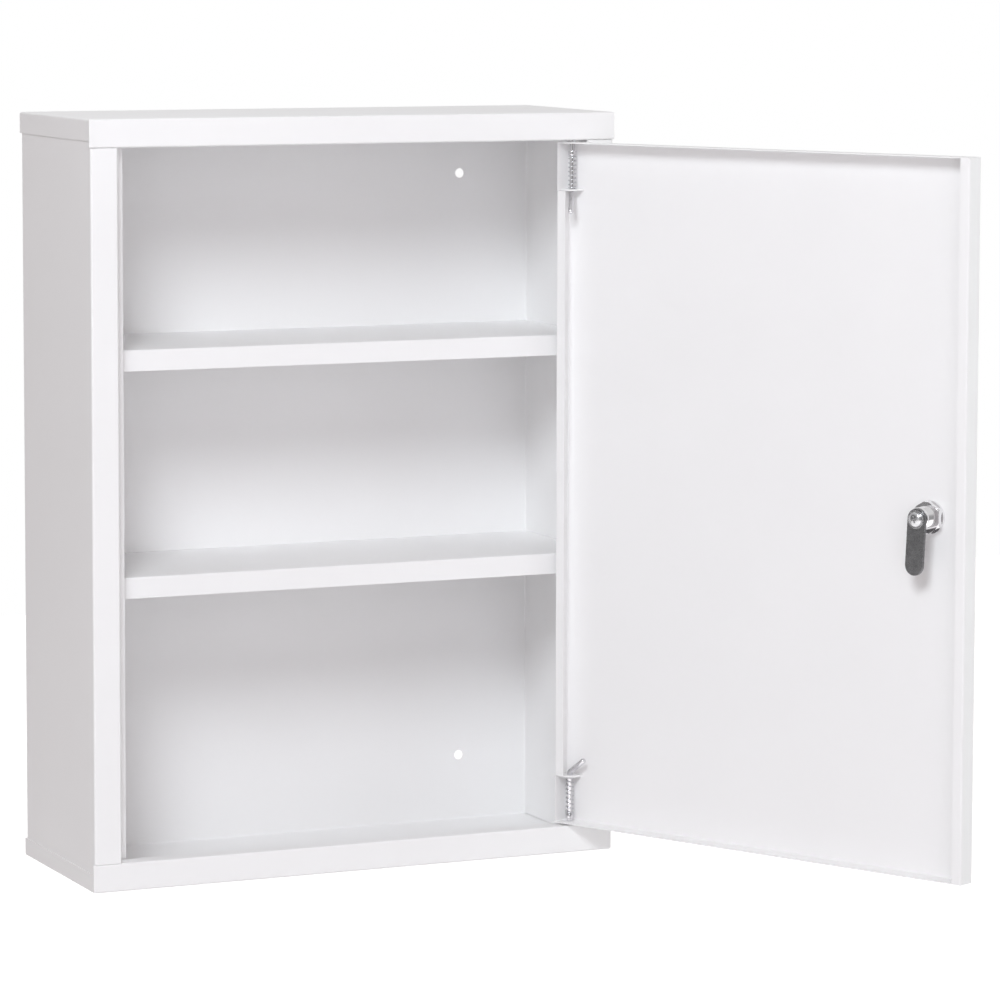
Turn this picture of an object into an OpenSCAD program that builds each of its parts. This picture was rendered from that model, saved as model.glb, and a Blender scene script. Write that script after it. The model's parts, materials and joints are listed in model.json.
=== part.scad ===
// Lockable wall cabinet for medicines, folded from sheet steel and shown with its door open.
//
// The modules draw in corner coordinates: x from the left side, y from the front face and
// z from the base. Pieces of the door are drawn shut and then turned about the hinge line.
// The finished model has its origin at the centre of the four wall holes, on the rear face
// of the back panel. +X is right, -Y is the front and +Z is up.

/* [Cabinet] */
// Overall width
body_w = 400; // [340:5:480]
// Overall depth
body_d = 150; // [120:5:200]
// Overall height
body_h = 540; // [480:5:640]
// Thickness of the folded sheet
sheet = 0.8; // [0.6:0.1:1.0]
// Radius of a fold, to the middle of the sheet
fold_r = 1.2; // [0.8:0.1:1.6]
// Gap between nested sheets
seat_gap = 0.1; // [0.05:0.05:0.2]
// Width of the flange that each side panel turns behind the back panel
rear_flange_w = 12; // [8:1:20]

/* [Front frame] */
// Height of the front flange on the cap and on the tray
rail_h = 20; // [16:1:26]
// Depth of the returns behind those flanges
rail_return = 13; // [12:0.5:18]
// Height of the cap's side and rear skirts
cap_skirt_h = 15; // [10:1:15]
// Height of the tray's side and rear skirts
tray_skirt_h = 13; // [10:1:15]
// Width of the front flange on each side panel
stile_w = 21; // [16:1:24]
// Width of the stop that the door's free edge closes against
stop_w = 8.5; // [8:0.5:12]

/* [Shelves] */
// Height of the lower shelf's top face
lower_shelf_z = 218; // [180:2:240]
// Height of the upper shelf's top face
upper_shelf_z = 378; // [340:2:400]
// Height of a shelf's turned-down edges
shelf_lip_h = 15; // [10:1:20]
// Distance from the cabinet's front face to a shelf's front edge
shelf_setback = 22; // [21:1:30]

/* [Wall holes] */
// Diameter of a wall hole
wall_hole_d = 7; // [5:0.5:9]
// Distance from the cabinet's side to the centre of a wall hole
wall_hole_x = 57; // [40:1:80]
// Distance from the cabinet's top and base to the centre of a wall hole
wall_hole_z = 50; // [30:1:80]

/* [Door] */
// Angle from shut to the door's place in the model
door_open = 116.5; // [0:0.5:118]
// Depth of the door's edges
door_d = 14.5; // [12:0.5:16]
// Gap between the door and the cap, and between the door and the tray
door_gap_z = 1.5; // [1:0.1:2.5]
// Gap beside the door's free edge
door_gap_free = 1.5; // [1:0.1:2.5]
// Gap beside the door's hinge edge
door_gap_hinge = 1.8; // [1.8:0.1:3]
// Gap between the shut door and its stop
stop_gap = 1.1; // [0.8:0.1:2]
// Width of the lip along the free edge
free_lip_w = 7.5; // [7:0.5:12]
// Width of the lip along the hinge edge
hinge_lip_w = 8; // [7:0.5:10]

/* [Hinges] */
// Diameter of a hinge pin
pin_d = 4; // [3:0.1:4]
// Radial clearance of a pin in its holes
pin_clear = 0.1; // [0.05:0.05:0.1]
// Distance from the door's hinge edge to the pin
pin_inset = 7.8; // [7.8:0.1:9]
// Distance from the door's front face to the pin
pin_setback = 6; // [5.6:0.1:6]
// Length of pin beyond the return that it turns in
pin_reach = 3.5; // [2.5:0.5:5]
// Distance from the door's end to the far face of a hinge bracket
bracket_drop = 35.1; // [33:0.1:40]
// Thickness of a hinge bracket
bracket_t = 1.2; // [1:0.1:1.6]
// Outer diameter of the collar crimped on a pin
collar_d = 5.8; // [5.4:0.1:6.4]
// Height of that collar
collar_h = 3.2; // [2.4:0.2:4]
// Gap between the upper collar and the door's end flange
upper_collar_gap = 5.5; // [1:0.5:6]
// Gap between the lower collar and the door's end flange
lower_collar_gap = 1.9; // [1:0.1:6]
// Wire diameter of a hinge spring
spring_wire = 0.8; // [0.6:0.1:0.9]
// Outer diameter of a hinge spring
spring_d = 6.2; // [6:0.1:6.6]
// Distance between a hinge spring's turns
spring_pitch = 2.6; // [2.4:0.1:3.2]
// Length of a pin's bent finger grip
grip_l = 16; // [10:1:18]
// Radius of the bend into the grip
grip_bend_r = 3; // [3:0.5:6]
// Angle between the upper pin and its grip
upper_grip_tilt = 42; // [20:1:60]
// Angle between the lower pin and its grip
lower_grip_tilt = 55; // [20:1:60]
// Direction of the upper grip, from the door's face towards its inside
upper_grip_turn = 56; // [0:1:90]
// Direction of the lower grip, from the door's face towards its inside
lower_grip_turn = 10; // [0:1:90]

/* [Lock] */
// Distance from the door's free edge to the lock's axis
lock_inset = 37; // [32:1:46]
// Height of the lock's axis above the middle of the door
lock_rise = 1; // [-20:1:20]
// Diameter of the lock's body
lock_body_d = 16; // [14:0.5:18]
// Diameter of the lock's front flange
lock_face_d = 22; // [20:0.5:26]
// Thickness of the lock's front flange
lock_face_t = 2.6; // [2:0.2:4]
// Width of the lock nut across its flats
nut_flats = 21; // [19:0.5:24]
// Thickness of the lock nut
nut_t = 4.2; // [3:0.2:5]
// Outer diameter of the washer under the nut
lock_washer_d = 23; // [22:0.5:30]
// Thickness of that washer
lock_washer_t = 2; // [0.5:0.1:2]
// Gap between the stop and the cam that turns behind it
cam_gap = 0.4; // [0.3:0.1:1]
// Width of the cam
cam_w = 14.5; // [14:0.5:18]
// Distance from the lock's axis to the cam's far end
cam_reach = 39; // [34:0.5:42]
// Thickness of the cam
cam_t = 2; // [1.5:0.1:2.4]
// Angle by which the hanging cam leans away from the door's free edge
cam_lean = 3; // [0:0.5:5]
// Diameter of the lock's turning plug
plug_d = 11; // [10.6:0.2:12]
// Diameter of the cam screw's head
cam_screw_head_d = 10; // [8:0.2:11]
// Diameter of the washer under that head
cam_washer_d = 12.8; // [10.6:0.2:14]
// Width of the square on the plug's end
plug_square = 7; // [6.4:0.2:7.4]

/* [Key] */
// Width of the key's blade
key_w = 6; // [5:0.2:6.4]
// Thickness of the key
key_t = 1.8; // [1.4:0.1:2]
// Diameter of the key's bow
key_bow_d = 21; // [18:1:26]

/* [Hidden] */

// Smoothness of round surfaces and of folds
$fn = 48;
fold_steps = 5;
// Length by which a cutting body passes the face that it opens
over = 1;
// Inner radius of a fold, which a sheet that lies in it has to clear
fold_in = fold_r - sheet / 2;

// Side walls: their outer face lies inside the skirts
wall_x = sheet + seat_gap;
wall_inner_x = wall_x + sheet;
// Layers at the rear: the skirts, then the side panels' flanges, then the back panel
rear_flange_y = body_d - sheet - seat_gap;
back_rear_y = rear_flange_y - sheet - seat_gap;
back_front_y = back_rear_y - sheet;

// Door opening and the shut door
door_x0 = stile_w + door_gap_free;
door_x1 = body_w - stile_w - door_gap_hinge;
door_z0 = rail_h + door_gap_z;
door_z1 = body_h - rail_h - door_gap_z;
door_h = door_z1 - door_z0;
door_mid_z = (door_z0 + door_z1) / 2;
hinge_x = door_x1 - pin_inset;
hinge_y = pin_setback;
// Rear face of the stop
stop_rear_y = door_d + stop_gap + sheet;

// Hinge parts, measured from the outer face of the door's end flange
pin_tip = door_gap_z + sheet + pin_reach;
bracket_near = bracket_drop - bracket_t;
pin_seat_r = pin_d / 2 + pin_clear;
end_gap = 0.3;

// Lock, measured along its axis from the door's front face
lock_x = door_x0 + lock_inset;
lock_z = door_mid_z + lock_rise;
cam_y0 = stop_rear_y + cam_gap;
cam_y1 = cam_y0 + cam_t;
lock_end_y = cam_y0 - seat_gap;
lock_washer_y = sheet + seat_gap;
nut_y = lock_washer_y + lock_washer_t + seat_gap;
plug_clear = 0.1;
plug_rim_d = plug_d + 2.4;
plug_rim_t = 1.2;
plug_face_y = -lock_face_t - 0.4;
cam_washer_t = 0.8;
cam_washer_y = cam_y1 + seat_gap;
cam_screw_y = cam_washer_y + cam_washer_t + seat_gap / 2;
cam_screw_head_t = 2.2;
cam_screw_d = 3.9;
cam_screw_l = 5;

// Keyway, wafers and their springs inside the plug
key_slip = 0.15;
wafer_count = 4;
wafer_t = 0.8;
wafer_pitch = 2.5;
wafer_first_y = plug_face_y + 4.2;
wafer_w = 6.4;
wafer_round_d = plug_d - 0.6;
pocket_x = 2.15;
pocket_z0 = -2.6;
pocket_z1 = 1.6;
pocket_d = 2.2;
wafer_spring_wire = 0.3;
wafer_spring_d = 1.7;
wafer_spring_turns = 4;
// The keyway stands upright when the lock is shut, so it lies flat when the cam hangs down
keyway_turn = 90;

// --- Sheet metal --------------------------------------------------------------------

function unit(v) = v / norm(v);
function left_of(v) = [-v[1], v[0]];
function turned(v, a) = [v[0] * cos(a) - v[1] * sin(a), v[0] * sin(a) + v[1] * cos(a)];
function backwards(v) = [for (i = [len(v) - 1:-1:0]) v[i]];

// Points of one fold at b, each with the direction of the sheet's left side
function fold_at(a, b, c) =
    let (u = unit(b - a), w = unit(c - b))
    let (turn = atan2(u[0] * w[1] - u[1] * w[0], u * w), side = sign(turn))
    let (centre = b - u * fold_r * tan(abs(turn) / 2) + left_of(u) * side * fold_r)
    [for (k = [0:fold_steps])
        let (out = turned(left_of(u) * -side, turn * k / fold_steps))
        [centre + out * fold_r, out * -side]];

// Middle line of a folded strip that follows the corner points p
function folded(p) =
    let (last = len(p) - 1)
    concat([[p[0], left_of(unit(p[1] - p[0]))]],
           [for (i = [1:last - 1]) each fold_at(p[i - 1], p[i], p[i + 1])],
           [[p[last], left_of(unit(p[last] - p[last - 1]))]]);

function strip_side(line, off) = [for (s = line) s[0] + s[1] * off];

// Section of a folded strip
module strip(p) {
    line = folded(p);
    polygon(concat(strip_side(line, sheet / 2), backwards(strip_side(line, -sheet / 2))));
}

// Outline with rounded corners, the size of a folded sheet's outside
function rounded(w, h) =
    let (r = fold_r + sheet / 2)
    [for (c = [[w - r, h - r, 0], [r, h - r, 90], [r, r, 180], [w - r, r, 270]])
        for (k = [0:fold_steps])
            [c[0], c[1]] + turned([r, 0], c[2] + 90 * k / fold_steps)];

// Extrusions of a y-z section along x, and of an x-z section along y
module along_x(l) { rotate([90, 0, 90]) linear_extrude(l) children(); }
module along_y(l) { translate([0, l, 0]) rotate([90, 0, 0]) linear_extrude(l) children(); }
// Cylinder along y, from y0 to y1
module rod_y(d, y0, y1) { translate([0, y1, 0]) rotate([90, 0, 0]) cylinder(d = d, h = y1 - y0); }

// Places corner coordinates in the finished frame
module in_place() {
    translate([-body_w / 2, -back_rear_y, -body_h / 2]) children();
}

// Turns the shut door's pieces to the open position
module on_door() {
    in_place() translate([hinge_x, hinge_y, 0]) rotate(door_open)
        translate([-hinge_x, -hinge_y, 0]) children();
}

// --- Cabinet body --------------------------------------------------------------------

// The cap with its flat top at z = 0. Turned over, it is the tray.
module end_pan(skirt_h) {
    half = sheet / 2;
    deep = 3 * rail_h;
    front_section = [[body_d - half, -skirt_h], [body_d - half, -half], [half, -half],
                     [half, half - rail_h], [rail_return, half - rail_h]];
    side_section = [[half, -skirt_h], [half, -half], [body_w - half, -half],
                    [body_w - half, -skirt_h]];
    // The return stops short of the side walls, which pass up inside the skirts
    return_end = wall_inner_x + over;
    difference() {
        union() {
            intersection() {
                along_x(body_w) strip(front_section);
                translate([0, -over, -deep])
                    along_y(body_d + 2 * over) polygon(rounded(body_w, deep));
            }
            intersection() {
                along_y(body_d) strip(side_section);
                translate([-over, 0, -deep])
                    along_x(body_w + 2 * over) polygon(rounded(body_d, deep));
            }
        }
        for (x = [-over, body_w - return_end])
            translate([x, sheet, -rail_h - over])
                cube([return_end + over, rail_return, sheet + 2 * over]);
        translate([hinge_x, hinge_y, -rail_h - over])
            cylinder(r = pin_seat_r, h = sheet + 2 * over);
    }
}

module top_cap() {
    color("white") in_place() translate([0, 0, body_h]) end_pan(cap_skirt_h);
}

module bottom_tray() {
    color("white") in_place() mirror([0, 0, 1]) end_pan(tray_skirt_h);
}

// A left side panel. Above and below the front flange only its wall runs on, into the skirts.
module side_panel(front_points) {
    half = sheet / 2;
    section = concat(front_points,
                     [[stile_w - half, half], [wall_x + half, half],
                      [wall_x + half, rear_flange_y - half],
                      [wall_x + rear_flange_w, rear_flange_y - half]]);
    wall_end = sheet + fold_in + seat_gap;
    stile_end = rail_h + seat_gap;
    tuck = sheet + fold_r;
    difference() {
        translate([0, 0, wall_end]) linear_extrude(body_h - 2 * wall_end) strip(section);
        for (z = [-over, body_h - stile_end]) {
            translate([-over, -over, z])
                cube([stile_w + stop_w, tuck + over, stile_end + over]);
            translate([wall_inner_x, -over, z])
                cube([stile_w + stop_w, stop_rear_y + 2 * over, stile_end + over]);
        }
    }
}

module left_side_panel() {
    half = sheet / 2;
    color("white") in_place()
        side_panel([[stile_w + stop_w, stop_rear_y - half],
                    [stile_w - half, stop_rear_y - half]]);
}

// The hinge side has no stop, because the door's hinge edge swings through its place
module right_side_panel() {
    color("white") in_place() translate([body_w, 0, 0]) mirror([1, 0, 0])
        side_panel([[stile_w - sheet / 2, stop_rear_y]]);
}

module back_panel() {
    edge_x = wall_inner_x + fold_in + seat_gap;
    edge_z = sheet + fold_in + seat_gap;
    color("white") in_place() difference() {
        translate([edge_x, back_front_y, edge_z])
            cube([body_w - 2 * edge_x, sheet, body_h - 2 * edge_z]);
        for (x = [wall_hole_x, body_w - wall_hole_x], z = [wall_hole_z, body_h - wall_hole_z])
            translate([x, 0, z]) rod_y(wall_hole_d, back_front_y - over, back_rear_y + over);
    }
}

// A shelf with its top face at z: turned down at the front, at both sides and round its corners
module shelf(z) {
    half = sheet / 2;
    end_x = wall_inner_x + seat_gap + half;
    rear_y = back_front_y - seat_gap;
    front_y = shelf_setback + half;
    edge = [[end_x, rear_y], [end_x, front_y], [body_w - end_x, front_y],
            [body_w - end_x, rear_y]];
    // The front edge is a smooth fold over this depth, from one rounded corner to the other
    fold_y = front_y + 2 * fold_r;
    nose_x = end_x + 2 * fold_r;
    nose_l = body_w - 2 * nose_x;
    translate([0, 0, z]) {
        difference() {
            translate([0, 0, -sheet]) linear_extrude(sheet)
                polygon(strip_side(folded(edge), half));
            translate([nose_x, 0, -sheet - over]) cube([nose_l, fold_y, sheet + 2 * over]);
        }
        difference() {
            translate([0, 0, -shelf_lip_h]) linear_extrude(shelf_lip_h) strip(edge);
            translate([nose_x, 0, -shelf_lip_h - over])
                cube([nose_l, fold_y, shelf_lip_h + 2 * over]);
        }
        translate([nose_x, 0, 0]) along_x(nose_l)
            strip([[front_y, -shelf_lip_h], [front_y, -half], [fold_y, -half]]);
    }
}

module upper_shelf() { color("white") in_place() shelf(upper_shelf_z); }
module lower_shelf() { color("white") in_place() shelf(lower_shelf_z); }

// --- Door ----------------------------------------------------------------------------

module door_panel() {
    half = sheet / 2;
    lip_y = door_d - half;
    plan = [[door_x1 - hinge_lip_w, lip_y], [door_x1 - half, lip_y], [door_x1 - half, half],
            [door_x0 + half, half], [door_x0 + half, lip_y], [door_x0 + free_lip_w, lip_y]];
    ends = [[door_d, door_h - half], [half, door_h - half], [half, half], [door_d, half]];
    fold_end = fold_r + half;
    color("white") on_door() difference() {
        union() {
            intersection() {
                translate([0, 0, door_z0]) linear_extrude(door_h) strip(plan);
                translate([0, 0, door_z0]) along_x(body_w) polygon(rounded(2 * door_d, door_h));
            }
            intersection() {
                translate([0, 0, door_z0]) along_x(body_w) strip(ends);
                translate([door_x0, 0, 0]) linear_extrude(body_h)
                    polygon(rounded(door_x1 - door_x0, 2 * door_d));
            }
        }
        // The hinge edge has no lip beside the pins and springs
        for (z = [door_z0 + sheet, door_z1 - bracket_drop])
            translate([door_x1 - hinge_lip_w - over, door_d - fold_end, z])
                cube([hinge_lip_w + over - sheet, fold_end + over, bracket_drop - sheet]);
        translate([hinge_x, hinge_y, 0]) {
            translate([0, 0, door_z0 - over]) cylinder(r = pin_seat_r, h = sheet + 2 * over);
            translate([0, 0, door_z1 - sheet - over])
                cylinder(r = pin_seat_r, h = sheet + 2 * over);
        }
        translate([lock_x, 0, lock_z])
            rod_y(lock_body_d + 2 * seat_gap, -over, sheet + over);
    }
}

// --- Hinges --------------------------------------------------------------------------

// Draws the upper hinge's pieces with z = 0 on the door's end face and z counted inwards,
// with x towards the door's free edge and y towards its inside
module at_upper_hinge() {
    on_door() translate([hinge_x, hinge_y, door_z1]) mirror([0, 0, 1]) mirror([1, 0, 0])
        children();
}
module at_lower_hinge() {
    on_door() translate([hinge_x, hinge_y, door_z0]) mirror([1, 0, 0]) children();
}

// Flat bracket across the corner between the door's hinge edge and its face
module hinge_bracket() {
    flange_x = -pin_inset + sheet + seat_gap;
    face_y = -pin_setback + sheet + seat_gap;
    // How far the bracket reaches from the pin, along the door's face and towards its inside
    reach = 7.2;
    nose = 6.9;
    outline = [[flange_x, face_y + fold_in], [flange_x + fold_in, face_y], [reach, face_y],
               [reach - 1.4, nose / 2], [1.8, nose - 0.4], [-2.5, nose], [flange_x, nose - 1.8]];
    translate([0, 0, bracket_near]) difference() {
        linear_extrude(bracket_t) polygon(outline);
        translate([0, 0, -over]) cylinder(r = pin_seat_r, h = bracket_t + 2 * over);
    }
}

module upper_hinge_bracket() { color("white") at_upper_hinge() hinge_bracket(); }
module lower_hinge_bracket() { color("white") at_lower_hinge() hinge_bracket(); }

// Length of wire along z with a rounded far end
module wire_end(l) {
    r = pin_d / 2;
    rotate_extrude()
        polygon(concat([[0, 0]], [for (a = [0:22.5:90]) [r * cos(a), l - r + r * sin(a)]]));
}

// Pin of bent wire: it turns in the cabinet, slides in the door and ends in a finger grip
module hinge_pin(tilt, turn) {
    bend_z = bracket_drop + end_gap;
    // The bend is a hair thicker than its straight ends, which reach into it
    bend_d = pin_d + 0.04;
    lap = 0.2;
    translate([0, 0, bend_z + lap]) mirror([0, 0, 1]) wire_end(bend_z + lap + pin_tip);
    translate([0, 0, bend_z]) rotate(turn) translate([grip_bend_r, 0, 0]) {
        rotate([90, 0, 0]) rotate(180 - tilt) rotate_extrude(angle = tilt)
            translate([grip_bend_r, 0]) circle(d = bend_d);
        rotate([0, tilt, 0]) translate([-grip_bend_r, 0, -lap]) wire_end(grip_l + lap);
    }
}

module upper_hinge_pin() {
    color("silver") at_upper_hinge() hinge_pin(upper_grip_tilt, upper_grip_turn);
}
module lower_hinge_pin() {
    color("silver") at_lower_hinge() hinge_pin(lower_grip_tilt, lower_grip_turn);
}

module pin_collar(gap) {
    translate([0, 0, sheet + gap]) difference() {
        cylinder(d = collar_d, h = collar_h);
        translate([0, 0, -over]) cylinder(d = pin_d + pin_clear, h = collar_h + 2 * over);
    }
}

module upper_pin_collar() { color("silver") at_upper_hinge() pin_collar(upper_collar_gap); }
module lower_pin_collar() { color("silver") at_lower_hinge() pin_collar(lower_collar_gap); }

// --- Coil springs ----------------------------------------------------------------------

// Middle line of a coil between z = 0 and z = l, with a straight end of one wire diameter
rings_per_turn = 8;
wire_sides = 6;
function coil(l, d, wire, turns) =
    let (r = (d - wire) / 2, steps = turns * rings_per_turn)
    concat([[r, 0, 0]],
           [for (i = [0:steps])
               let (a = 360 * i / rings_per_turn)
               [r * cos(a), r * sin(a), wire + (l - 2 * wire) * i / steps]],
           [[r, 0, l]]);

// Least gap that a coil leaves to itself, between rings at least half a turn apart
function coil_gap(p, wire) =
    min([for (i = [0:len(p) - 1])
            for (j = [i + rings_per_turn / 2 + 1:1:len(p) - 1]) norm(p[i] - p[j])]) - wire;

// Direction of the middle line at ring i: along z at both ends
function heading(p, i) =
    i == 0 || i == len(p) - 1 ? [0, 0, 1] : unit(unit(p[i + 1] - p[i]) + unit(p[i] - p[i - 1]));

module tube(p, wire) {
    last = len(p) - 1;
    points = [for (i = [0:last])
        let (t = heading(p, i), out = unit([p[i][0], p[i][1], 0]))
        let (e = unit(out - t * (out * t)), f = cross(t, e))
        for (k = [0:wire_sides - 1])
            p[i] + (e * cos(360 * k / wire_sides) + f * sin(360 * k / wire_sides)) * wire / 2];
    sides = [for (i = [0:last - 1]) for (k = [0:wire_sides - 1])
        let (a = i * wire_sides + k, b = i * wire_sides + (k + 1) % wire_sides)
        each [[a, a + wire_sides, b], [b, a + wire_sides, b + wire_sides]]];
    first_cap = [for (k = [1:wire_sides - 2]) [0, k, k + 1]];
    last_cap = [for (k = [1:wire_sides - 2])
        let (s = last * wire_sides) [s, s + k + 1, s + k]];
    polyhedron(points = points, faces = concat(sides, first_cap, last_cap));
}

// The spring fills the space between a collar and its bracket
function spring_start(gap) = sheet + gap + collar_h;
function spring_length(gap) = bracket_near - spring_start(gap);
function spring_line(gap) =
    let (l = spring_length(gap))
    coil(l, spring_d, spring_wire, round((l - 2 * spring_wire) / spring_pitch));
module hinge_spring(gap) {
    translate([0, 0, spring_start(gap)]) tube(spring_line(gap), spring_wire);
}

module upper_hinge_spring() { color("silver") at_upper_hinge() hinge_spring(upper_collar_gap); }
module lower_hinge_spring() { color("silver") at_lower_hinge() hinge_spring(lower_collar_gap); }

// --- Lock ------------------------------------------------------------------------------

// Puts the lock's axis along y, with y = 0 on the door's front face
module at_lock() { on_door() translate([lock_x, 0, lock_z]) children(); }
// The same, turned with the cam and with the keyway
module at_cam() { at_lock() rotate([0, -cam_lean, 0]) children(); }
module at_keyway() { at_cam() rotate([0, keyway_turn, 0]) children(); }

module lock_housing() {
    color("silver") at_lock() difference() {
        union() {
            rod_y(lock_face_d, -lock_face_t, 0 - seat_gap);
            rod_y(lock_body_d, -over, lock_end_y);
        }
        rod_y(plug_d + 2 * plug_clear, -lock_face_t - over, lock_end_y + over);
        rod_y(plug_rim_d + 2 * plug_clear, -lock_face_t - over,
              plug_face_y + plug_rim_t + plug_clear);
    }
}

module lock_washer() {
    color("silver") at_lock() difference() {
        rod_y(lock_washer_d, lock_washer_y, lock_washer_y + lock_washer_t);
        rod_y(lock_body_d + 2 * seat_gap, 0, nut_y);
    }
}

module lock_nut() {
    color("silver") at_lock() difference() {
        intersection() {
            translate([0, nut_y + nut_t, 0]) rotate([90, 30, 0])
                cylinder(d = nut_flats / cos(30), h = nut_t, $fn = 6);
            translate([0, nut_y, 0]) rotate([-90, 0, 0])
                cylinder(d1 = nut_flats + 8, d2 = nut_flats + 0.8, h = nut_t);
        }
        rod_y(lock_body_d + 2 * seat_gap, 0, nut_y + nut_t + over);
    }
}

module keyway_slot(w, h, y0, y1) {
    translate([-w / 2, y0, -h / 2]) cube([w, y1 - y0, h]);
}

// One wafer's slot in the plug: its right half is open only above the spring pocket
module wafer_space(slip) {
    w = wafer_w / 2 + slip;
    depth = wafer_t + 2 * slip;
    tall = plug_d;
    translate([-w, -slip, -tall]) cube([w + pocket_x - pocket_d / 2, depth, 2 * tall]);
    translate([-w, -slip, pocket_z1 + 0.1 - slip]) cube([2 * w, depth, tall]);
}

module each_wafer() {
    for (i = [0:wafer_count - 1])
        translate([0, wafer_first_y + i * wafer_pitch, 0]) children();
}

module lock_plug() {
    slot_w = key_t + 2 * key_slip;
    slot_h = key_w + 2 * key_slip;
    color("silver") at_keyway() difference() {
        union() {
            rod_y(plug_d, plug_face_y, lock_end_y);
            rod_y(plug_rim_d, plug_face_y, plug_face_y + plug_rim_t);
            translate([-plug_square / 2, lock_end_y - over, -plug_square / 2])
                cube([plug_square, cam_y1 - lock_end_y + over - seat_gap, plug_square]);
        }
        keyway_slot(slot_w, slot_h, plug_face_y - over, key_end_y + key_slip);
        each_wafer() {
            wafer_space(key_slip);
            translate([pocket_x, wafer_t / 2, pocket_z0])
                cylinder(d = pocket_d, h = pocket_z1 - pocket_z0 + 2 * key_slip);
        }
        rod_y(cam_screw_d + 2 * plug_clear, cam_screw_y - cam_screw_l - plug_clear,
              cam_y1 + over);
    }
}

module lock_wafers() {
    window_w = key_t + 2 * key_slip;
    window_h = key_w + 2 * key_slip;
    color("goldenrod") at_keyway() each_wafer() difference() {
        intersection() {
            wafer_space(0);
            rod_y(wafer_round_d, 0, wafer_t);
        }
        keyway_slot(window_w, window_h, -over, wafer_t + over);
    }
}

module wafer_springs() {
    l = pocket_z1 - pocket_z0;
    line = coil(l, wafer_spring_d, wafer_spring_wire, wafer_spring_turns);
    color("silver") at_keyway() each_wafer()
        translate([pocket_x, wafer_t / 2, pocket_z0]) tube(line, wafer_spring_wire);
}

// Cam plate, hanging down from the lock with its end rounded
module lock_cam() {
    square_gap = plug_square + 2 * plug_clear;
    end_r = cam_w / 2;
    color("dimgray") at_cam() difference() {
        union() {
            rod_y(cam_w, cam_y0, cam_y1);
            translate([-end_r, cam_y0, end_r - cam_reach]) cube([cam_w, cam_t, cam_reach - end_r]);
            translate([0, 0, end_r - cam_reach]) rod_y(cam_w, cam_y0, cam_y1);
        }
        translate([0, (cam_y0 + cam_y1) / 2, 0])
            cube([square_gap, cam_t + 2 * over, square_gap], center = true);
    }
}

module cam_washer() {
    color("silver") at_cam() difference() {
        rod_y(cam_washer_d, cam_washer_y, cam_washer_y + cam_washer_t);
        rod_y(cam_screw_d + 2 * plug_clear, cam_y0, cam_screw_y + over);
    }
}

module cam_screw() {
    slot_w = 1.4;
    slot_l = 6;
    slot_depth = 1.3;
    head_end = cam_screw_y + cam_screw_head_t;
    rim = 0.9;
    color("silver") at_cam() difference() {
        union() {
            rod_y(cam_screw_d, cam_screw_y - cam_screw_l, cam_screw_y + over);
            rod_y(cam_screw_head_d, cam_screw_y, head_end - rim);
            translate([0, head_end - rim, 0]) rotate([-90, 0, 0])
                cylinder(d1 = cam_screw_head_d, d2 = cam_screw_head_d - 2 * rim, h = rim);
        }
        for (a = [0, 90])
            rotate([0, 20 + a, 0]) translate([-slot_l / 2, head_end - slot_depth, -slot_w / 2])
                cube([slot_l, slot_depth + over, slot_w]);
    }
}

// --- Key -------------------------------------------------------------------------------

key_end_y = wafer_first_y + wafer_count * wafer_pitch;
key_stop_y = plug_face_y - 0.3;
key_neck_l = 4;

module key() {
    bow_y = key_stop_y - key_neck_l - key_bow_d / 2 + 2;
    hole_d = 3.6;
    cuts = [0.9, 0.5, 1.1, 0.7];
    color("silver") at_keyway() difference() {
        union() {
            translate([-key_t / 2, key_stop_y - key_neck_l, -key_w / 2])
                cube([key_t, key_end_y - key_stop_y + key_neck_l, key_w]);
            translate([-key_t / 2, key_stop_y - key_neck_l, -key_w / 2 - 1.2])
                cube([key_t, key_neck_l, key_w + 2.4]);
            translate([-key_t / 2, bow_y, 0]) rotate([0, 90, 0])
                cylinder(d = key_bow_d, h = key_t);
        }
        translate([-key_t, bow_y - key_bow_d / 4, 0]) rotate([0, 90, 0])
            cylinder(d = hole_d, h = 2 * key_t);
        for (i = [0:len(cuts) - 1])
            translate([0, wafer_first_y + i * wafer_pitch + wafer_t / 2, key_w / 2])
                rotate([45, 0, 0]) cube([2 * key_t, cuts[i] * 1.4, cuts[i] * 1.4], center = true);
    }
}

echo(upper_spring_gap = coil_gap(spring_line(upper_collar_gap), spring_wire));
echo(lower_spring_gap = coil_gap(spring_line(lower_collar_gap), spring_wire));
echo(wafer_spring_gap = coil_gap(coil(pocket_z1 - pocket_z0, wafer_spring_d, wafer_spring_wire,
                                      wafer_spring_turns), wafer_spring_wire));

left_side_panel();
right_side_panel();
top_cap();
bottom_tray();
back_panel();
upper_shelf();
lower_shelf();
door_panel();
upper_hinge_bracket();
lower_hinge_bracket();
upper_hinge_pin();
lower_hinge_pin();
upper_pin_collar();
lower_pin_collar();
upper_hinge_spring();
lower_hinge_spring();
lock_housing();
lock_washer();
lock_nut();
lock_plug();
lock_wafers();
wafer_springs();
lock_cam();
cam_washer();
cam_screw();
key();
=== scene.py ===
import json
import math

import bmesh
import bpy
from mathutils import Matrix, Vector


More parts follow.
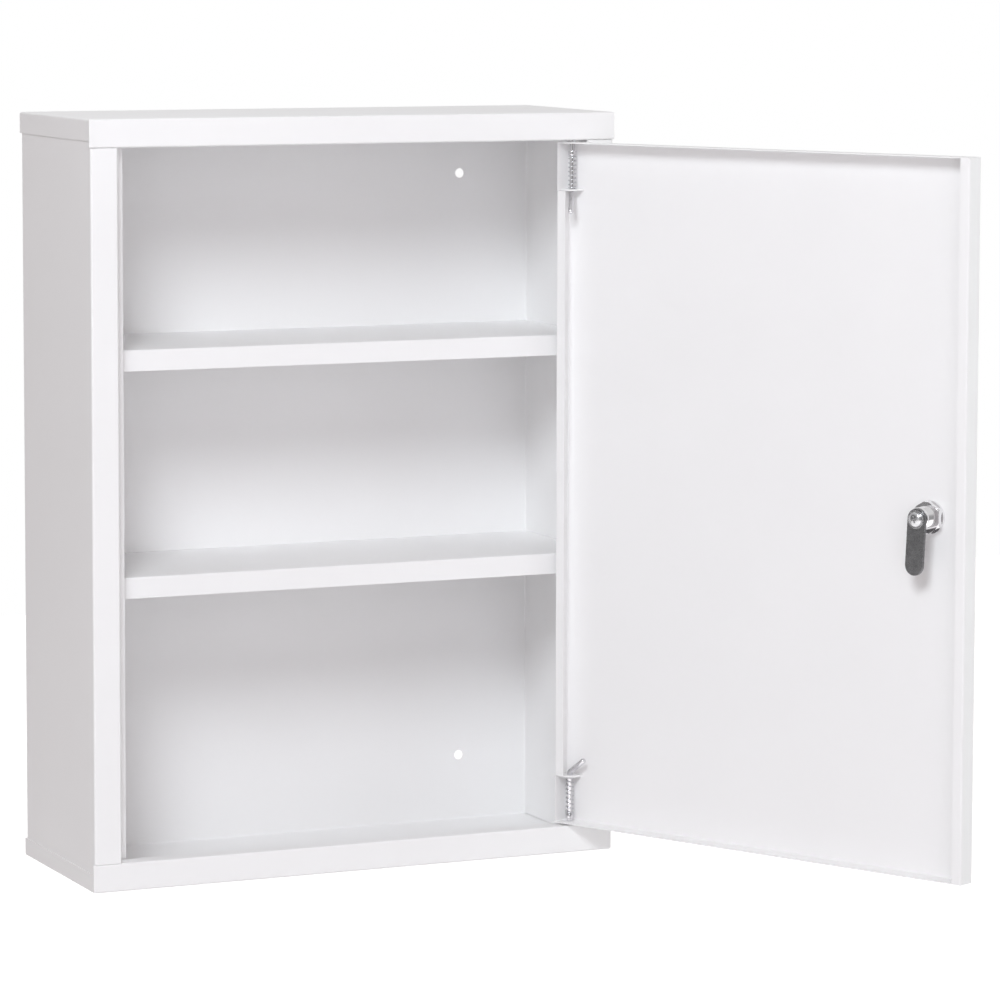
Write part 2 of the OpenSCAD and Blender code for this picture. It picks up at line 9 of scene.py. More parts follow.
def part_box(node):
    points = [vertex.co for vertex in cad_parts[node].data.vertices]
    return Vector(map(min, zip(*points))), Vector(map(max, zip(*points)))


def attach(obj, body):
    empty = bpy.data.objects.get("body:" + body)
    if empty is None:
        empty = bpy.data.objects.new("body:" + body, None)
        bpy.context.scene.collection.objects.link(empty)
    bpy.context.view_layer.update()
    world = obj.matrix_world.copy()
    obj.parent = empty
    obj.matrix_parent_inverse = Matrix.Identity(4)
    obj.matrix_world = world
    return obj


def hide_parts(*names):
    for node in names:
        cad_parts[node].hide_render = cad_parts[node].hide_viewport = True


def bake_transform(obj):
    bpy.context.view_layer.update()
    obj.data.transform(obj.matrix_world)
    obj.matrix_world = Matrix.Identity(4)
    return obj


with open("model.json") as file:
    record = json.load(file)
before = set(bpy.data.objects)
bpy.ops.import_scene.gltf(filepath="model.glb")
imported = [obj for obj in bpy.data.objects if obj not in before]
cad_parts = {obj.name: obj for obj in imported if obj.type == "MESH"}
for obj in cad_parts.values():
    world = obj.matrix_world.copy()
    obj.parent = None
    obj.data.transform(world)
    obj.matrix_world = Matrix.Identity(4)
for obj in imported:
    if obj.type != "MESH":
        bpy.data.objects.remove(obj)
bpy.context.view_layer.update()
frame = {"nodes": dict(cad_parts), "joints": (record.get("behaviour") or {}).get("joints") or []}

mm = 0.001
scene = bpy.context.scene
joints = {joint["name"]: joint for joint in frame["joints"]}
print("frame loaded")


# the photograph's viewpoint, in the cabinet's frame
cameraView = {
    "place": (-1.2425, -3.1388, 0.3926),
    "yaw": 24.335,
    "pitch": 5.709,
    "roll": 0.147,
    "lens": 165.35,
    "sensor": 36,
    "rise": -0.1,
    "farthest": 200,
}


def makeCamera(view):
    yaw, pitch, roll = (math.radians(view[key]) for key in ("yaw", "pitch", "roll"))
    forward = Vector((math.sin(yaw) * math.cos(pitch), math.cos(yaw) * math.cos(pitch), -math.sin(pitch)))
    level = Vector((math.cos(yaw), -math.sin(yaw), 0))
    over = level.cross(forward)
    right = level * math.cos(roll) + over * math.sin(roll)
    up = over * math.cos(roll) - level * math.sin(roll)
    turn = Matrix((right, up, -forward)).transposed().to_4x4()
    data = bpy.data.cameras.new("camera")
    data.lens = view["lens"]
    data.sensor_width = view["sensor"]
    data.shift_y = view["rise"]
    data.clip_end = view["farthest"]
    camera = bpy.data.objects.new("camera", data)
    camera.matrix_world = Matrix.Translation(view["place"]) @ turn
    scene.collection.objects.link(camera)
    scene.camera = camera


makeCamera(cameraView)
print("camera placed")


# a new material and its main shader, with the named sockets set
def newFinish(name, **values):
    finish = bpy.data.materials.new(name)
    finish.use_nodes = True
    shader = finish.node_tree.nodes["Principled BSDF"]
    for socket, value in values.items():
        shader.inputs[socket.replace("_", " ")].default_value = value
    return finish, shader


def objectNoise(finish, scale, detail, stretch=None):
    nodes, links = finish.node_tree.nodes, finish.node_tree.links
    coordinates = nodes.new("ShaderNodeTexCoord")
    noise = nodes.new("ShaderNodeTexNoise")
    noise.inputs["Scale"].default_value = scale
    noise.inputs["Detail"].default_value = detail
    if stretch:
        mapping = nodes.new("ShaderNodeMapping")
        mapping.inputs["Scale"].default_value = stretch
        links.new(coordinates.outputs["Object"], mapping.inputs["Vector"])
        links.new(mapping.outputs["Vector"], noise.inputs["Vector"])
    else:
        links.new(coordinates.outputs["Object"], noise.inputs["Vector"])
    return noise


# the part of the noise that runs from one value to the other
noiseSpan = {"tint": (0.35, 0.65), "roughness": (0.3, 0.7)}


def tintBy(finish, shader, noise, dark, light):
    nodes, links = finish.node_tree.nodes, finish.node_tree.links
    ramp = nodes.new("ShaderNodeValToRGB")
    ramp.color_ramp.elements[0].position = noiseSpan["tint"][0]
    ramp.color_ramp.elements[0].color = (*dark, 1)
    ramp.color_ramp.elements[1].position = noiseSpan["tint"][1]
    ramp.color_ramp.elements[1].color = (*light, 1)
    links.new(noise.outputs["Fac"], ramp.inputs["Fac"])
    links.new(ramp.outputs["Color"], shader.inputs["Base Color"])


def roughenBy(finish, shader, noise, smooth, rough):
    nodes, links = finish.node_tree.nodes, finish.node_tree.links
    spread = nodes.new("ShaderNodeMapRange")
    spread.inputs["From Min"].default_value = noiseSpan["roughness"][0]
    spread.inputs["From Max"].default_value = noiseSpan["roughness"][1]
    spread.inputs["To Min"].default_value = smooth
    spread.inputs["To Max"].default_value = rough
    links.new(noise.outputs["Fac"], spread.inputs["Value"])
    links.new(spread.outputs["Result"], shader.inputs["Roughness"])


def bumpBy(finish, shader, *layers):
    nodes, links = finish.node_tree.nodes, finish.node_tree.links
    last = None
    for noise, strength, distance in layers:
        bump = nodes.new("ShaderNodeBump")
        bump.inputs["Strength"].default_value = strength
        bump.inputs["Distance"].default_value = distance
        links.new(noise.outputs["Fac"], bump.inputs["Height"])
        if last:
            links.new(last.outputs["Normal"], bump.inputs["Normal"])
        last = bump
    links.new(last.outputs["Normal"], shader.inputs["Normal"])


powderCoat = {
    "dark": (0.944, 0.943, 0.944),
    "light": (0.956, 0.955, 0.956),
    "roughness": (0.44, 0.50),
    "cloud": (14, 4),                   # scale and detail of each noise
    "sheen": (55, 3),
    "peel": (620, 1.5),                 # orange peel, about 1.6 mm across
    "grain": (3200, 1),
    "peelRelief": (0.16, 0.00006),      # strength and height
    "grainRelief": (0.07, 0.00002),
}


def powderCoatFinish(name, coat):
    finish, shader = newFinish(name, Specular_IOR_Level=0.5)
    tintBy(finish, shader, objectNoise(finish, *coat["cloud"]), coat["dark"], coat["light"])
    roughenBy(finish, shader, objectNoise(finish, *coat["sheen"]), *coat["roughness"])
    peel = objectNoise(finish, *coat["peel"])
    grain = objectNoise(finish, *coat["grain"])
    bumpBy(finish, shader, (peel, *coat["peelRelief"]), (grain, *coat["grainRelief"]))
    return finish


# what all the metals share, and then each metal with the scales of its patches and scratches
metalNoise = {
    "patchDetail": 4,
    "sheenDetail": 3,
    "sheenRatio": 2.3,              # how much finer the sheen varies than the tint
    "scratchDetail": 2,
    "relief": (0.25, 0.00002),      # strength and height of the scratches
}
metals = {
    "zinc_wire": {"dark": (0.62, 0.61, 0.63), "light": (0.76, 0.75, 0.77),
                  "roughness": (0.09, 0.16), "patches": 220, "scratches": 1600},
    "spring_wire": {"dark": (0.58, 0.58, 0.60), "light": (0.72, 0.72, 0.74),
                    "roughness": (0.08, 0.15), "patches": 260, "scratches": 1800},
    "chrome_plate": {"dark": (0.82, 0.81, 0.82), "light": (0.90, 0.89, 0.90),
                     "roughness": (0.07, 0.13), "patches": 90, "scratches": 700},
    "screw_zinc": {"dark": (0.56, 0.56, 0.57), "light": (0.68, 0.68, 0.69),
                   "roughness": (0.12, 0.20), "patches": 190, "scratches": 1100},
    # the cam's dark base colour is a painted dark reflection: it stands in for the dark surroundings that
    # the cam's face reflects
    "cam_painted_dark_reflection": {"dark": (0.18, 0.18, 0.185), "light": (0.215, 0.215, 0.22),
                 "roughness": (0.22, 0.32), "patches": 130, "scratches": 1300, "stretch": (1, 1, 0.2)},
    "wafer_brass": {"dark": (0.62, 0.44, 0.18), "light": (0.76, 0.56, 0.25),
                    "roughness": (0.22, 0.36), "patches": 160, "scratches": 900},
    "key_nickel": {"dark": (0.66, 0.64, 0.60), "light": (0.78, 0.76, 0.72),
                   "roughness": (0.14, 0.26), "patches": 120, "scratches": 1500},
}


def metalFinish(name):
    metal = metals[name]
    finish, shader = newFinish(name, Metallic=1.0)
    patches = objectNoise(finish, metal["patches"], metalNoise["patchDetail"])
    tintBy(finish, shader, patches, metal["dark"], metal["light"])
    sheen = objectNoise(finish, metal["patches"] * metalNoise["sheenRatio"], metalNoise["sheenDetail"])
    roughenBy(finish, shader, sheen, *metal["roughness"])
    scratches = objectNoise(finish, metal["scratches"], metalNoise["scratchDetail"], metal.get("stretch"))
    bumpBy(finish, shader, (scratches, *metalNoise["relief"]))
    return finish


casePaint = powderCoatFinish("case_powder_coat", powderCoat)
doorPaint = powderCoatFinish("door_powder_coat", powderCoat)
bracketPaint = powderCoatFinish("bracket_powder_coat", powderCoat)
zincWire, springWire, chromePlate, screwZinc, camPaintedDarkReflection, waferBrass, keyNickel = map(metalFinish, metals)
print("finishes made")


# how a form is merged, eased and shaded: distances in metres, angles in degrees
making = {
    "merge": 0.000002,
    "mergeNode": 0.000004,
    "flatAngle": 0.5,
    "cornerAngle": 35,
    "shadeAngle": 32,
    "flatWeight": 60,
}


def addPiece(name, mesh, finish, body, slot, *nodes):
    mesh.materials.clear()
    mesh.materials.append(finish)
    piece = bpy.data.objects.new(name, mesh)
    scene.collection.objects.link(piece)
    if nodes:
        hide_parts(*nodes)
    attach(piece, body)
    return piece


def keepNormalsFlat(piece):
    flatter = piece.modifiers.new("even_normals", "WEIGHTED_NORMAL")
    flatter.keep_sharp = True
    flatter.weight = making["flatWeight"]


# a CAD solid with its coplanar triangles joined, its edges eased and its folds shaded smoothly
def easeNode(node, finish, body, slot, edge, rounds=2):
    form = bmesh.new()
    form.from_mesh(frame["nodes"][node].data)
    bmesh.ops.remove_doubles(form, verts=form.verts, dist=making["mergeNode"])
    bmesh.ops.dissolve_limit(form, angle_limit=math.radians(making["flatAngle"]),
                             verts=form.verts, edges=form.edges)
    sharp = math.radians(making["cornerAngle"])
    corners = [e for e in form.edges if e.is_manifold and e.calc_face_angle() > sharp]
    bmesh.ops.bevel(form, geom=corners, offset=edge, offset_type="OFFSET", affect="EDGES",
                    segments=rounds, profile=0.5, material=-1, clamp_overlap=True)
    mesh = bpy.data.meshes.new(node + "_eased")
    form.to_mesh(mesh)
    form.free()
    mesh.shade_smooth()
    mesh.set_sharp_from_angle(angle=math.radians(making["shadeAngle"]))
    piece = addPiece(node + "_eased", mesh, finish, body, slot, node)
    keepNormalsFlat(piece)


# merges a form, moves it to its place in the cabinet and makes a mesh of it
def closeForm(name, form, place, sharpAngle=making["shadeAngle"]):
    bmesh.ops.remove_doubles(form, verts=form.verts, dist=making["merge"])
    bmesh.ops.transform(form, matrix=place, verts=form.verts)
    bmesh.ops.recalc_face_normals(form, faces=form.faces)
    mesh = bpy.data.meshes.new(name)
    form.to_mesh(mesh)
    form.free()
    mesh.shade_smooth()
    mesh.set_sharp_from_angle(angle=math.radians(sharpAngle))
    return mesh


# the corners of an outline joined by edges, which an operator then fills, spins or extrudes
def closedOutline(form, corners):
    points = [form.verts.new(corner) for corner in corners]
    edges = [form.edges.new((points[i], points[(i + 1) % len(points)])) for i in range(len(points))]
    return points, edges


# turns a closed profile of (radius, height) points in mm about the z axis
def turnedForm(profile, steps):
    form = bmesh.new()
    points, edges = closedOutline(form, [(radius * mm, 0, height * mm) for radius, height in profile])
    bmesh.ops.spin(form, geom=points + edges, cent=(0, 0, 0), axis=(0, 0, 1), dvec=(0, 0, 0),
                   angle=math.tau, steps=steps, use_merge=True, use_normal_flip=False)
    bmesh.ops.remove_doubles(form, verts=form.verts, dist=making["merge"])
    return form


# extrudes a ring of edges, scales the new ring about a centre and moves it
def stretchRing(form, ring, move, size=1.0, centre=Vector()):
    made = bmesh.ops.extrude_edge_only(form, edges=ring)["geom"]
    verts = [g for g in made if isinstance(g, bmesh.types.BMVert)]
    bmesh.ops.scale(form, verts=verts, vec=(size,) * 3, space=Matrix.Translation(-centre))
    bmesh.ops.translate(form, verts=verts, vec=move)
    return [g for g in made if isinstance(g, bmesh.types.BMEdge)]


# how far the corners of the folded sheet are eased, in metres
sheetMetal = {
    "edge": 0.00006,
    "bracketEdge": 0.0003,
    "case": ["left_side_panel", "right_side_panel", "top_cap", "bottom_tray", "back_panel",
             "upper_shelf", "lower_shelf"],
    "brackets": ["upper_hinge_bracket", "lower_hinge_bracket"],
}

for node in sheetMetal["case"]:
    easeNode(node, casePaint, "cabinet", "case_paint", sheetMetal["edge"])
easeNode("door_panel", doorPaint, "door", "door_paint", sheetMetal["edge"])
for node in sheetMetal["brackets"]:
    easeNode(node, bracketPaint, "door", "bracket_paint", sheetMetal["bracketEdge"])


# the coat that bridges the joints round the back panel, a hollow fillet in each; sizes in mm
seam = {
    "size": 1.35,           # how far the coat reaches from the corner
    "lift": 0.02,           # clear of the sheets that it lies on
    "groove": 0.9,          # from the back panel's edge to the wall, the cap or the tray
    "steps": 6,
}


# a strip along a corner from start to end, where wall and back point into the room
def makeSeam(name, start, end, wall, back):
    size, lift, steps = seam["size"] * mm, seam["lift"] * mm, seam["steps"]
    start, end, wall, back = (Vector(v) for v in (start, end, wall, back))
    turns = [math.pi / 2 * i / steps for i in range(steps + 1)]
    hollow = [size * (wall * (1 - math.cos(turn)) + back * (1 - math.sin(turn))) for turn in turns]
    corner = start + (wall + back) * lift
    form = bmesh.new()
    edges = closedOutline(form, [corner] + [corner + point for point in hollow])[1]
    bmesh.ops.edgeloop_fill(form, edges=edges)
    made = bmesh.ops.extrude_face_region(form, geom=form.faces[:])["geom"]
    bmesh.ops.translate(form, verts=[g for g in made if isinstance(g, bmesh.types.BMVert)], vec=end - start)
    addPiece(name, closeForm(name, form, Matrix()), casePaint, "cabinet", "case_paint")


def makeSeams():
    low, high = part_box("back_panel")
    groove = seam["groove"] * mm
    left, right = low[0] - groove, high[0] + groove
    bottom, top = low[2] - groove, high[2] + groove
    front = low[1]
    for name, x, inwards in (("left_seam", left, 1), ("right_seam", right, -1)):
        makeSeam(name, (x, front, bottom), (x, front, top), (inwards, 0, 0), (0, -1, 0))
    for name, z, inwards in (("base_seam", bottom, 1), ("cap_seam", top, -1)):
        makeSeam(name, (left, front, z), (right, front, z), (0, 0, inwards), (0, -1, 0))


makeSeams()
print("sheet metal eased")


# sizes in mm here and in the pin, the collar and the spring, from the face of the door's end
hinge = {
    "doorOpen": 116.5,
    "doorEnd": 248.5,       # the door's end faces above and below the middle
    "sheet": 0.8,
    "bracket": 33.9,        # where the spring ends
}
hingeSides = {
    "upper": {"tilt": 42, "turn": 56, "collarGap": 5.5, "turns": 7},
    "lower": {"tilt": 55, "turn": 10, "collarGap": 1.9, "turns": 8},
}

hingeLine = Vector(joints["door_hinge"]["pos_m"])
doorTurn = Matrix.Translation(hingeLine) @ Matrix.Rotation(math.radians(hinge["doorOpen"]), 4, "Z")


# z runs inwards from the door's end face, x to the door's free edge and y to its inside
def hingePlace(side):
    reach = hinge["doorEnd"] * mm
    if side == "upper":
        return doorTurn @ Matrix.Translation((0, 0, reach)) @ Matrix.Rotation(math.pi, 4, "Y")
    return doorTurn @ Matrix.Translation((0, 0, -reach)) @ Matrix.Scale(-1, 4, (1, 0, 0))


pin = {
    "wire": 4.0,
    "tip": 5.8,             # how far the tip stands out of the door's end
    "bend": 35.4,           # where the bend starts
    "bendRadius": 3.0,
    "grip": 16.0,
    "dome": [0.30, 0.62, 0.86, 1.0],    # the rings of a rounded end, as shares of the radius
    "tipFlat": 0.8,         # how much flatter the tip is than the grip's end
    "stride": 4.0,          # the rings along the straight wire
    "sides": 28,
    "bendSteps": 10,
    "gripSteps": 4,
    "shadeAngle": 50,
}


# how far two neighbouring rings of a rounded end stand apart, as a share of the radius
def domeRise(one, other):
    return abs(math.sqrt(1 - one ** 2) - math.sqrt(1 - other ** 2))


def makePin(side):
    facts = hingeSides[side]
    radius = pin["wire"] / 2 * mm
    dome = pin["dome"]
    height = -pin["tip"] * mm
    form = bmesh.new()
    bmesh.ops.create_circle(form, cap_ends=True, radius=radius * dome[0], segments=pin["sides"],
                            matrix=Matrix.Translation((0, 0, height)))
    ring = form.edges[:]
    for small, large in zip(dome, dome[1:]):
        rise = radius * pin["tipFlat"] * domeRise(small, large)
        ring = stretchRing(form, ring, (0, 0, rise), large / small, Vector((0, 0, height)))
        height += rise
    while height < pin["bend"] * mm - making["merge"]:
        rise = min(pin["stride"] * mm, pin["bend"] * mm - height)
        ring = stretchRing(form, ring, (0, 0, rise))
        height += rise
    heading = Matrix.Rotation(math.radians(facts["turn"]), 3, "Z")
    axis = heading @ Vector((0, 1, 0))
    centre = heading @ Vector((pin["bendRadius"] * mm, 0, 0)) + Vector((0, 0, height))
    tilt = Matrix.Rotation(math.radians(facts["tilt"]), 3, axis)
    bent = bmesh.ops.spin(form, geom=ring, cent=centre, axis=axis, dvec=(0, 0, 0),
                          angle=math.radians(facts["tilt"]), steps=pin["bendSteps"], use_merge=False)
    ring = [g for g in bent["geom_last"] if isinstance(g, bmesh.types.BMEdge)]
    along = tilt @ Vector((0, 0, 1))
    middle = centre + tilt @ (Vector((0, 0, height)) - centre)
    step = along * (pin["grip"] * mm / pin["gripSteps"])
    for _ in range(pin["gripSteps"]):
        ring = stretchRing(form, ring, step)
        middle = middle + step
    for large, small in zip(dome[::-1], dome[-2::-1]):
        rise = along * radius * domeRise(large, small)
        ring = stretchRing(form, ring, rise, small / large, middle)
        middle = middle + rise
    bmesh.ops.contextual_create(form, geom=ring)
    name = side + "_pin_wire"
    mesh = closeForm(name, form, hingePlace(side), pin["shadeAngle"])
    addPiece(name, mesh, zincWire, side + "_pin", "pin_steel", side + "_hinge_pin")


collar = {
    "inner": 2.04,
    "outer": 2.9,
    "height": 3.2,
    "ease": 0.35,
    "nick": 0.1,
    "steps": 40,
    "crimpFrom": 2.4,       # points further out than this are crimped
    "crimpHalf": 1.3,
    "crimpStart": 0.80,     # how far towards x a point has to lie to be crimped
    "crimpDepth": 0.09,
}


def makeCollar(side):
    bottom = hinge["sheet"] + hingeSides[side]["collarGap"]
    top = bottom + collar["height"]
    outer, inner, ease, nick = (collar[key] for key in ("outer", "inner", "ease", "nick"))
    form = turnedForm([(inner, bottom), (outer - ease, bottom), (outer - nick, bottom + nick),
                       (outer, bottom + ease), (outer, top - ease), (outer - nick, top - nick),
                       (outer - ease, top), (inner, top)], collar["steps"])
    # two crimped flats
    middle = (bottom + top) / 2 * mm
    for vert in form.verts:
        away = Vector((vert.co.x, vert.co.y))
        if away.length > collar["crimpFrom"] * mm and abs(vert.co.z - middle) < collar["crimpHalf"] * mm:
            past = max(0.0, abs(away.normalized().x) - collar["crimpStart"])
            squeeze = 1 - collar["crimpDepth"] * past / (1 - collar["crimpStart"])
            vert.co.x *= squeeze
            vert.co.y *= squeeze
    name = side + "_collar_crimp"
    mesh = closeForm(name, form, hingePlace(side))
    addPiece(name, mesh, zincWire, side + "_pin", "pin_steel", side + "_pin_collar")


spring = {
    "wire": 0.8,
    "coil": 6.2,
    "shutPitch": 1.06,      # of the shut turns, in wire widths
    "sides": 12,
    "turnSteps": 28,
    "shadeAngle": 60,
}


# a coil between the collar and the bracket, with one shut turn at each end
def makeSpring(side):
    facts = hingeSides[side]
    wire = spring["wire"] * mm
    start = (hinge["sheet"] + facts["collarGap"] + collar["height"]) * mm
    length = hinge["bracket"] * mm - start
    radius = spring["coil"] / 2 * mm - wire / 2
    shut = wire * spring["shutPitch"]
    loose = length - wire - 2 * shut
    form = bmesh.new()
    upright = Matrix.Translation((radius, 0, start + wire / 2)) @ Matrix.Rotation(math.pi / 2, 4, "X")
    bmesh.ops.create_circle(form, cap_ends=False, radius=wire / 2, segments=spring["sides"], matrix=upright)
    first = form.edges[:]
    ring = first
    for turns, rise in ((1, shut), (facts["turns"], loose), (1, shut)):
        steps = spring["turnSteps"] * turns
        swept = bmesh.ops.spin(form, geom=ring, cent=(0, 0, 0), axis=(0, 0, 1), dvec=(0, 0, rise / steps),
                               angle=math.tau * turns, steps=steps, use_merge=False)
        ring = [g for g in swept["geom_last"] if isinstance(g, bmesh.types.BMEdge)]
    for end in (ring, first):
        bmesh.ops.contextual_create(form, geom=end)
    name = side + "_spring_coil"
    place = hingePlace(side)
    mesh = closeForm(name, form, place, spring["shadeAngle"])
    mesh.materials.append(springWire)
    piece = bpy.data.objects.new(name, mesh)
    scene.collection.objects.link(piece)
    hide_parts(side + "_hinge_spring")
    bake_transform(piece)


for side in hingeSides:
    makePin(side)
    makeCollar(side)
    makeSpring(side)
print("hinges made")


lockAxis = Vector(joints["lock_turn"]["axis"]).normalized()
lockUp = Vector((0, 0, 1))
lockPlace = (Matrix.Translation(joints["lock_turn"]["pos_m"])
             @ Matrix((lockUp.cross(lockAxis), lockUp, lockAxis)).transposed().to_4x4())


# sizes in mm along the lock's axis, from the door's front face to its inside
housing = {
    "body": 8.0,
    "bodyEnd": 16.7,
    "endEase": 0.5,
    "bore": 5.6,
    "steps": 72,
    "face": 11.0,
    "faceFront": -2.6,
    "faceBack": -0.1,
    "faceEase": [(1.2, 0), (0.35, 0.35), (0, 1.1)],     # in from the rim, back from the front
    "rimBore": 6.8,
    "rimDepth": 1.7,
    "threadFrom": 2.2,
    "threadTo": 15.9,
    "thread": 1.0,
    "threadDepth": 0.35,
}


def makeHousing():
    front, face, body, end = (housing[key] for key in ("faceFront", "face", "body", "bodyEnd"))
    bore, rimBore, seat = housing["bore"], housing["rimBore"], front + housing["rimDepth"]
    profile = [(bore, end), (bore, seat), (rimBore, seat), (rimBore, front)]
    profile += [(face - inwards, front + back) for inwards, back in housing["faceEase"]]
    profile += [(face, housing["faceBack"]), (body, housing["faceBack"]), (body, housing["threadFrom"])]
    height, pitch = housing["threadFrom"], housing["thread"]
    while height + pitch < housing["threadTo"]:
        profile += [(body - housing["threadDepth"], height + pitch / 2), (body, height + pitch)]
        height += pitch
    profile += [(body, end - housing["endEase"]), (body - housing["endEase"], end)]
    mesh = closeForm("lock_barrel", turnedForm(profile, housing["steps"]), lockPlace)
    addPiece("lock_barrel", mesh, chromePlate, "door", "lock_chrome", "lock_housing")


screw = {
    "shank": 1.95,
    "shankTo": 14.75,
    "headFrom": 19.75,
    "head": [(4.9, 0), (5.0, 0.25), (4.95, 0.9), (4.6, 1.35),      # radius, height above headFrom
             (3.6, 1.88), (2.25, 2.1), (1.0, 2.18), (0, 2.2)],
    "steps": 56,
    "crossTurn": 17,
    "crossWidth": 1.1,
    "crossLength": 7.0,
    "crossDepth": 0.8,
    "crossTaper": (0.45, 0.8, 1),
}


# a tapering cross that is cut from the screw's head
def makeCross(top):
    size = (screw["crossLength"] * mm, screw["crossWidth"] * mm, 2 * screw["crossDepth"] * mm)
    cutter = bmesh.new()
    for turn in (0, 90):
        made = bmesh.ops.create_cube(cutter, size=1.0)["verts"]
        bmesh.ops.scale(cutter, verts=made, vec=size)
        bmesh.ops.scale(cutter, verts=[v for v in made if v.co.z < 0], vec=screw["crossTaper"])
        bmesh.ops.rotate(cutter, verts=made,
                         matrix=Matrix.Rotation(math.radians(turn + screw["crossTurn"]), 3, "Z"))
        bmesh.ops.translate(cutter, verts=made, vec=(0, 0, top * mm))
    mesh = bpy.data.meshes.new("cross_cutter")
    cutter.to_mesh(mesh)
    cutter.free()
    return bpy.data.objects.new("cross_cutter", mesh)


def makeScrew():
    base, shank = screw["headFrom"], screw["shank"]
    profile = [(0, screw["shankTo"]), (shank, screw["shankTo"]), (shank, base)]
    profile += [(radius, base + height) for radius, height in screw["head"]]
    mesh = closeForm("cam_screw_head", turnedForm(profile, screw["steps"]), Matrix())
    head = bpy.data.objects.new("cam_screw_head", mesh)
    cross = makeCross(profile[-1][1])
    for thing in (head, cross):
        scene.collection.objects.link(thing)
    cut = head.modifiers.new("cross", "BOOLEAN")
    cut.operation = "DIFFERENCE"
    cut.solver = "EXACT"
    cut.use_self = True
    cut.object = cross
    done = bpy.data.meshes.new_from_object(head.evaluated_get(bpy.context.evaluated_depsgraph_get()))
    for thing in (head, cross):
        bpy.data.objects.remove(thing)
    done.transform(lockPlace)
    done.name = "cam_screw_cross"
    done.shade_smooth()
    done.set_sharp_from_angle(angle=math.radians(making["shadeAngle"]))
    addPiece("cam_screw_cross", done, screwZinc, "lock_cylinder", "lock_chrome", "cam_screw")


makeHousing()
makeScrew()
# finish, body, slot, how far the edges are eased in metres, and in how many rounds
lockNodes = {
    "lock_nut": (chromePlate, "door", "lock_chrome", 0.0002),
    "lock_washer": (chromePlate, "door", "lock_chrome", 0.00015),
    "lock_cam": (camPaintedDarkReflection, "lock_cylinder", "cam_steel", 0.0003, 3),
    "cam_washer": (screwZinc, "lock_cylinder", "lock_chrome", 0.0001),
    "lock_plug": (chromePlate, "lock_cylinder", "lock_chrome", 0.0001),
    "key": (keyNickel, "key", "key_nickel", 0.00025, 3),
}
for node, facts in lockNodes.items():
    easeNode(node, *facts)
for node, finish in (("lock_wafers", waferBrass), ("wafer_springs", springWire)):
    frame["nodes"][node].data.materials.clear()
    frame["nodes"][node].data.materials.append(finish)
print("lock made")


# places in metres, power in watts
studio = {
    "floor": -0.62,
    "floorCells": 8,
    "floorGrey": 0.8,
    "floorRough": 0.9,
    "floorGlow": 0.84,
    "floorReach": 3.4,
    "aim": (0.05, -0.1, 0),
    "lamps": {
        "key_light": {"place": (-1.06, -1.78, 1.36), "size": 0.8, "power": 27.4,
                      "tint": (0.925, 0.966, 1.0)},
        "front_light": {"place": (-0.9, -3.4, 0.0), "size": 2.5, "power": 22.7,
                        "tint": (0.939, 0.934, 1.0), "mirrored": False},
        "side_light": {"place": (3.0, -1.1, 0.0), "size": 1.5, "power": 19.3,
                       "tint": (0.891, 1.0, 0.997)},
        "top_light": {"place": (0.2, 0.9, 2.2), "size": 1.5, "power": 10.6,
                      "tint": (0.887, 0.97, 1.0)},
    },
    "fill": 0.358,
    "fillTint": (1.0, 0.886, 0.87),
    "shine": 0.72,          # what bright metal sees of the studio
    # the studio's unlit sides: a direction, the nearness to it at which the dark starts and is
    # full, and what is left of the shine there
    "darkSides": [((-0.96, 0.26, -0.10), 0.80, 0.95, 0.30), ((-0.08, -1.0, 0.0), 0.78, 0.96, 0.45)],
}


# the floor keeps the object's shadow and glows for the camera and for reflections
def makeFloor():
    form = bmesh.new()
    cells = studio["floorCells"]
    bmesh.ops.create_grid(form, x_segments=cells, y_segments=cells, size=studio["floorReach"],
                          matrix=Matrix.Translation((0, 0, studio["floor"])))
    mesh = bpy.data.meshes.new("floor")
    form.to_mesh(mesh)
    form.free()
    finish, shader = newFinish("floor_white", Roughness=studio["floorRough"], Specular_IOR_Level=0.0)
    shader.inputs["Base Color"].default_value = (studio["floorGrey"],) * 3 + (1,)
    nodes, links = finish.node_tree.nodes, finish.node_tree.links
    path = nodes.new("ShaderNodeLightPath")
    most = nodes.new("ShaderNodeMath")
    most.operation = "MAXIMUM"
    glow = nodes.new("ShaderNodeMath")
    glow.operation = "MULTIPLY"
    glow.inputs[1].default_value = studio["floorGlow"]
    links.new(path.outputs["Is Camera Ray"], most.inputs[0])
    links.new(path.outputs["Is Glossy Ray"], most.inputs[1])
    links.new(most.outputs[0], glow.inputs[0])
    shader.inputs["Emission Color"].default_value = (1, 1, 1, 1)
    links.new(glow.outputs[0], shader.inputs["Emission Strength"])
    mesh.materials.append(finish)
    floor = bpy.data.objects.new("floor", mesh)
    scene.collection.objects.link(floor)


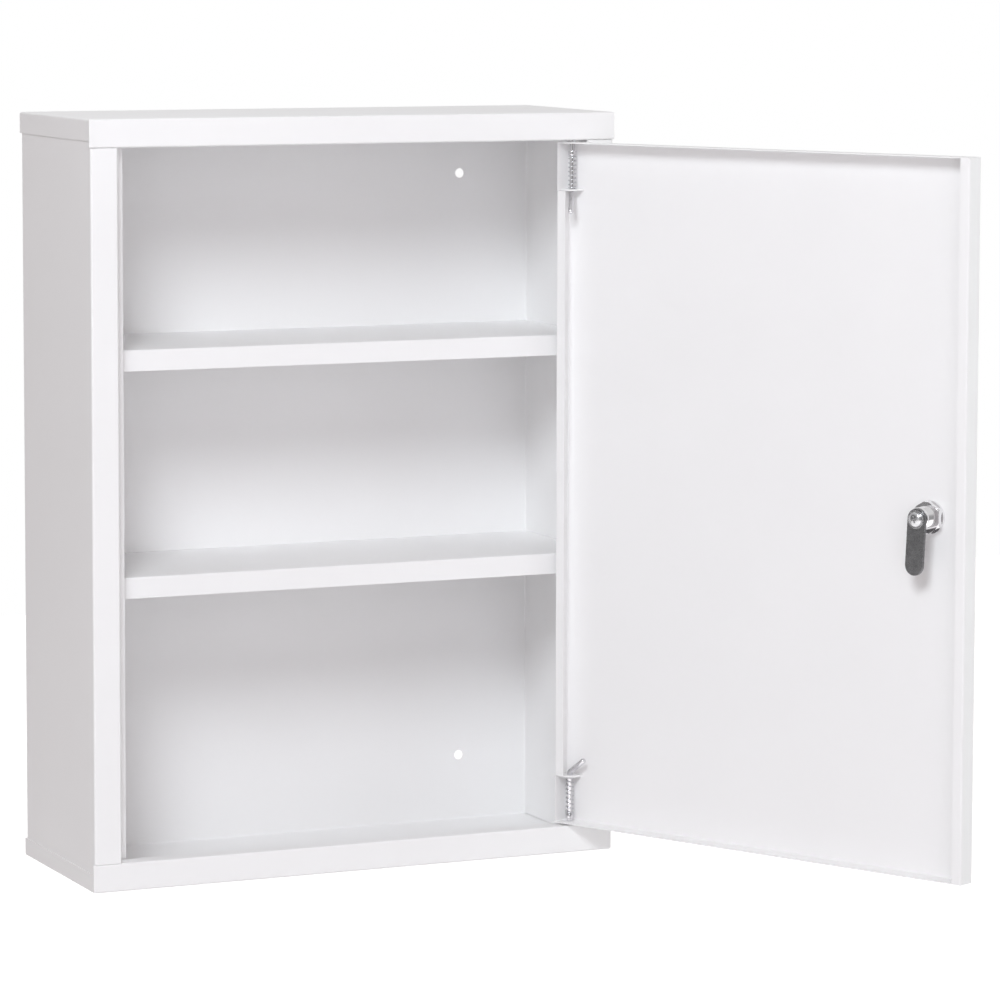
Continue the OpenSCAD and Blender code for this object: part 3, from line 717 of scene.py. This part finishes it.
def makeWorld():
    world = bpy.data.worlds.new("studio")
    world.use_nodes = True
    scene.world = world
    nodes, links = world.node_tree.nodes, world.node_tree.links
    shader = nodes["Background"]
    path = nodes.new("ShaderNodeLightPath")
    tint = nodes.new("ShaderNodeMix")
    tint.data_type = "RGBA"
    # a colour Mix node has its two colours at inputs 6 and 7 and its result at output 2
    tint.inputs[6].default_value = (1, 1, 1, 1)
    tint.inputs[7].default_value = (*studio["fillTint"], 1)
    links.new(path.outputs["Is Diffuse Ray"], tint.inputs["Factor"])
    links.new(tint.outputs[2], shader.inputs["Color"])
    coordinates = nodes.new("ShaderNodeTexCoord")
    shine = None
    for side, starts, full, left in studio["darkSides"]:
        facing = nodes.new("ShaderNodeVectorMath")
        facing.operation = "DOT_PRODUCT"
        facing.inputs[1].default_value = Vector(side).normalized()
        links.new(coordinates.outputs["Generated"], facing.inputs[0])
        fade = nodes.new("ShaderNodeMapRange")
        fade.interpolation_type = "SMOOTHSTEP"
        for socket, value in (("From Min", starts), ("From Max", full), ("To Min", 1.0), ("To Max", left)):
            fade.inputs[socket].default_value = value
        links.new(facing.outputs["Value"], fade.inputs["Value"])
        share = nodes.new("ShaderNodeMath")
        share.operation = "MULTIPLY"
        share.inputs[1].default_value = studio["shine"]
        links.new(fade.outputs["Result"], share.inputs[0])
        if shine:
            links.new(shine.outputs[0], share.inputs[1])
        shine = share
    # reflections see the studio, the camera and glass see white, and the rest is the fill light
    glossy = nodes.new("ShaderNodeMix")
    glossy.inputs["A"].default_value = studio["fill"]
    links.new(path.outputs["Is Glossy Ray"], glossy.inputs["Factor"])
    links.new(shine.outputs[0], glossy.inputs["B"])
    white = nodes.new("ShaderNodeMath")
    white.operation = "MAXIMUM"
    links.new(path.outputs["Is Camera Ray"], white.inputs[0])
    links.new(path.outputs["Is Transmission Ray"], white.inputs[1])
    seen = nodes.new("ShaderNodeMix")
    seen.inputs["B"].default_value = 1.0
    links.new(white.outputs[0], seen.inputs["Factor"])
    links.new(glossy.outputs["Result"], seen.inputs["A"])
    links.new(seen.outputs["Result"], shader.inputs["Strength"])


def makeLamp(name, lamp):
    data = bpy.data.lights.new(name, "AREA")
    data.shape = "DISK"
    data.size = lamp["size"]
    data.energy = lamp["power"]
    data.color = lamp["tint"]
    light = bpy.data.objects.new(name, data)
    light.visible_glossy = lamp.get("mirrored", True)
    place = Vector(lamp["place"])
    turn = (place - Vector(studio["aim"])).to_track_quat("Z", "Y").to_matrix().to_4x4()
    light.matrix_world = Matrix.Translation(place) @ turn
    scene.collection.objects.link(light)


makeFloor()
makeWorld()
for name, lamp in studio["lamps"].items():
    makeLamp(name, lamp)
scene.view_settings.view_transform = "Standard"
print("studio set")
